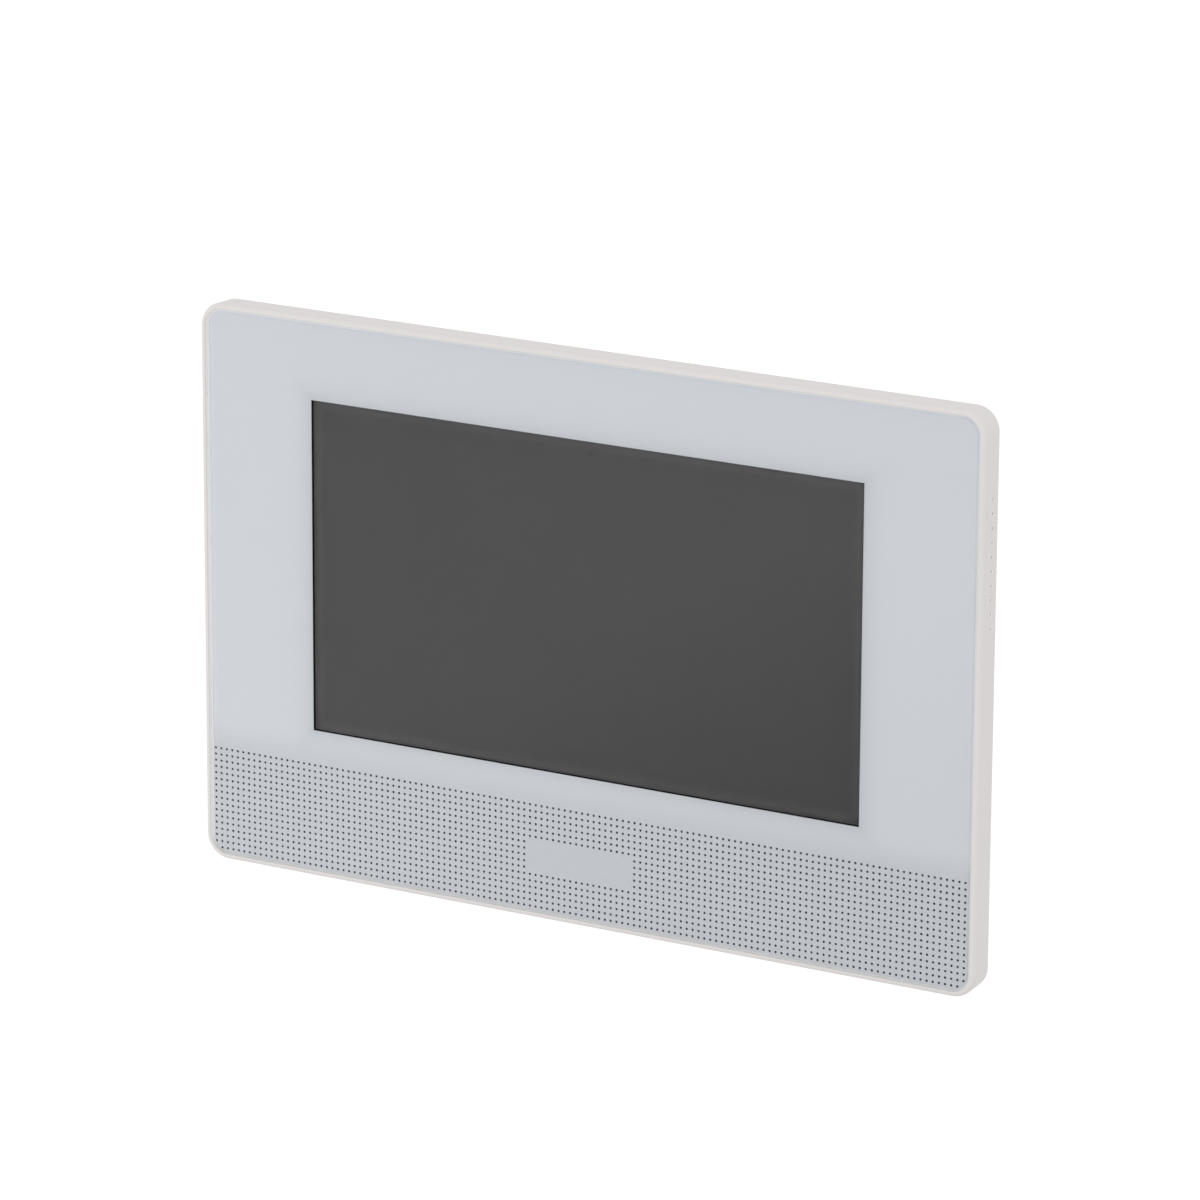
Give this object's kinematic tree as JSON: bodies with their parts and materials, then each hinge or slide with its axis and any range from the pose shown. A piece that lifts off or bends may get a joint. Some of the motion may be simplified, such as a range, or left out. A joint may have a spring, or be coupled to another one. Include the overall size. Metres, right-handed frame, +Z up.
{
  "type": "alarm keypad panel",
  "caption": "Wall-mounted touch-screen alarm keypad panel: white printed glass front with a dotted band, slim rim with sound holes, inset rear housing, lift-off wall bracket.",
  "frame": {"origin": "centre of the bracket's wall screw pattern, on the wall's face", "axes": "+X right seen from the front, +Y into the wall, +Z up; the glass faces -Y"},
  "size_m": [0.2194, 0.024, 0.1456],
  "materials": {
    "cover_glass": "polished, with a ground edge",
    "white_print": "bluish-white back print with a band of small dark dots",
    "white_housing": "fine satin moulded texture, warm white",
    "rear_plastic": "fine spark-eroded texture, warm white",
    "black_foam": "matt foam",
    "black_tape": "matt tape",
    "sensor_glass": "clear, coated",
    "display_black": "satin dark grey polariser",
    "bright_sheet": "plain rolled",
    "backlight_white": "matt",
    "ribbon_amber": "thin film",
    "black_plastic": "satin",
    "magnet_plate": "nickel plated",
    "cone_film": "matt film",
    "mesh_cloth": "fine dust cloth",
    "wire_jacket": "smooth",
    "screw_steel": "zinc plated",
    "standoff_brass": "turned",
    "board_green": "solder mask",
    "radio_blue": "solder mask",
    "connector_ivory": "satin",
    "chip_black": "matt epoxy",
    "can_tin": "tinned",
    "ferrite_grey": "matt ferrite",
    "capacitor_can": "drawn",
    "cell_steel": "stainless",
    "terminal_green": "satin",
    "spring_steel": "drawn wire",
    "plunger_white": "satin",
    "button_black": "satin"
  },
  "bodies": {
    "bracket": {"wall_bracket": "rear_plastic"},
    "panel": {"cover_glass": "cover_glass", "border_print": "white_print", "glass_tape": "black_tape", "touch_sensor": "sensor_glass", "touch_ribbon": "ribbon_amber", "screen_gasket": "black_foam", "display_frame": "bright_sheet", "display_cell": "display_black", "backlight": "backlight_white", "display_ribbon": "ribbon_amber", "front_housing": "white_housing", "sound_mesh": "mesh_cloth", "speaker_gasket": "black_foam", "speaker_box": "black_plastic", "speaker_magnet": "magnet_plate", "speaker_surround": "black_foam", "speaker_wires": "wire_jacket", "chassis_pads": "black_foam", "chassis_plate": "bright_sheet", "chassis_screws": "screw_steel", "board_standoffs": "standoff_brass", "main_board": "board_green", "board_screws": "screw_steel", "ribbon_connectors": "connector_ivory", "speaker_connector": "connector_ivory", "processor": "chip_black", "memory_chips": "chip_black", "radio_board": "radio_blue", "radio_can": "can_tin", "power_inductors": "ferrite_grey", "capacitors": "capacitor_can", "cell_holder": "black_plastic", "clock_cell": "cell_steel", "terminal_block": "terminal_green", "terminal_screws": "screw_steel", "tamper_switch": "black_plastic", "tamper_spring": "spring_steel", "reset_switch": "bright_sheet", "rear_housing": "rear_plastic", "housing_screws": "screw_steel"},
    "tamper_plunger": {"tamper_plunger": "plunger_white"},
    "reset_button": {"reset_button": "button_black"},
    "speaker_cone": {"speaker_cone": "cone_film"}
  },
  "joints": [
    {"name": "panel_lift", "type": "slide", "parent": "bracket", "child": "panel", "axis": [0, 0, 1], "range_m": [0, 0.0062]},
    {"name": "tamper_press", "type": "slide", "parent": "panel", "child": "tamper_plunger", "axis": [0, -1, 0], "range_m": [0, 0.0012], "stiffness_N_per_m": 300, "deforming": ["tamper_spring"]},
    {"name": "reset_press", "type": "slide", "parent": "panel", "child": "reset_button", "axis": [0, -1, 0], "range_m": [0, 0.0003], "stiffness_N_per_m": 1000},
    {"name": "cone_travel", "type": "slide", "parent": "panel", "child": "speaker_cone", "axis": [0, 1, 0], "range_m": [-0.0003, 0.0003], "stiffness_N_per_m": 500}
  ]
}
